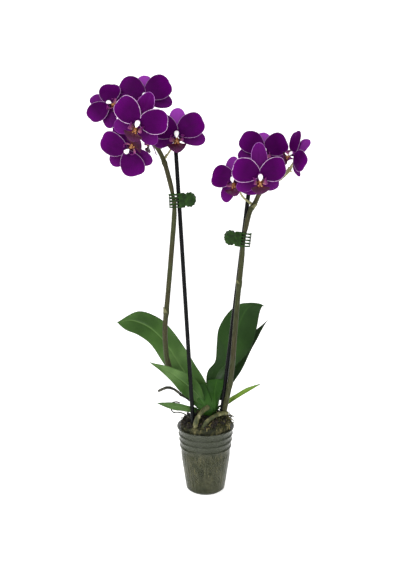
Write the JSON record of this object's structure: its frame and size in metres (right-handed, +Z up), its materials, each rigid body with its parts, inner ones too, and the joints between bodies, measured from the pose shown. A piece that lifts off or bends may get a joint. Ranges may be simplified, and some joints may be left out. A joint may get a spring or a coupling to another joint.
{
  "type": "potted orchid",
  "caption": "Potted moth orchid with two staked, clipped flower spikes of violet blooms, arching leaves and aerial roots in a small clear ribbed nursery pot.",
  "frame": {"origin": "middle of the pot's foot, on the surface it stands on", "axes": "+Z up along the pot's axis; the flowers face -Y, and +X is to the right seen from the front"},
  "size_m": [0.2506, 0.1348, 0.5087],
  "materials": {
    "clear_plastic": "thin translucent moulded polypropylene, smoky green grey",
    "bark_and_moss": "damp bark chips and moss, rough",
    "crown": "fibrous green stem base",
    "live_root": "matt silvery green root skin",
    "dry_root": "dry dark root",
    "leaf": "waxy mid green leaf",
    "young_leaf": "waxy yellow green leaf",
    "flower_stem": "smooth olive brown stem",
    "black_stake": "glossy black coated stake",
    "green_clip": "dark green moulded plastic",
    "sepal": "satin violet tissue with a pale margin",
    "petal": "satin deep violet tissue with a pale margin",
    "lip": "dark maroon waxy lip with an orange brown callus",
    "column": "white waxy column"
  },
  "bodies": {
    "root": {"pot": "clear_plastic", "growing_medium": "bark_and_moss", "crown": "crown", "root_front_left": "live_root", "root_front_right": "live_root", "root_arching": "dry_root", "leaf_left_large": "leaf", "leaf_right_large": "leaf", "leaf_right_back": "leaf", "leaf_left_small": "leaf", "leaf_left_low": "leaf", "leaf_right_young": "young_leaf", "spike_left": "flower_stem", "spike_right": "flower_stem", "stake_left": "black_stake", "stake_right": "black_stake", "clip_left_back_jaw": "green_clip", "clip_right_back_jaw": "green_clip", "flower_a_sepals": "sepal", "flower_a_petals": "petal", "flower_a_lip": "lip", "flower_a_column": "column", "flower_b_sepals": "sepal", "flower_b_petals": "petal", "flower_b_lip": "lip", "flower_b_column": "column", "flower_c_sepals": "sepal", "flower_c_petals": "petal", "flower_c_lip": "lip", "flower_c_column": "column", "flower_d_sepals": "sepal", "flower_d_petals": "petal", "flower_d_lip": "lip", "flower_d_column": "column", "flower_e_sepals": "sepal", "flower_e_petals": "petal", "flower_e_lip": "lip", "flower_e_column": "column", "flower_f_sepals": "sepal", "flower_f_petals": "petal", "flower_f_lip": "lip", "flower_f_column": "column", "flower_g_sepals": "sepal", "flower_g_petals": "petal", "flower_g_lip": "lip", "flower_g_column": "column", "flower_h_sepals": "sepal", "flower_h_petals": "petal", "flower_h_lip": "lip", "flower_h_column": "column", "flower_i_sepals": "sepal", "flower_i_petals": "petal", "flower_i_lip": "lip", "flower_i_column": "column", "flower_j_sepals": "sepal", "flower_j_petals": "petal", "flower_j_lip": "lip", "flower_j_column": "column"},
    "left_clip_jaw": {"clip_left_front_jaw": "green_clip"},
    "right_clip_jaw": {"clip_right_front_jaw": "green_clip"}
  },
  "joints": [
    {"name": "left_clip_hinge", "type": "hinge", "parent": "root", "child": "left_clip_jaw", "pos_m": [-0.026, -0.0014, 0.367], "axis": [-0.0592, 0.0623, 0.9963], "range_deg": [0, 32], "stiffness_Nm_per_rad": 0.004, "springref_deg": -28.65},
    {"name": "right_clip_hinge", "type": "hinge", "parent": "root", "child": "right_clip_jaw", "pos_m": [0.036, 0.0002, 0.321], "axis": [-0.1116, -0.0416, -0.9929], "range_deg": [0, 32], "stiffness_Nm_per_rad": 0.004, "springref_deg": -28.65}
  ]
}
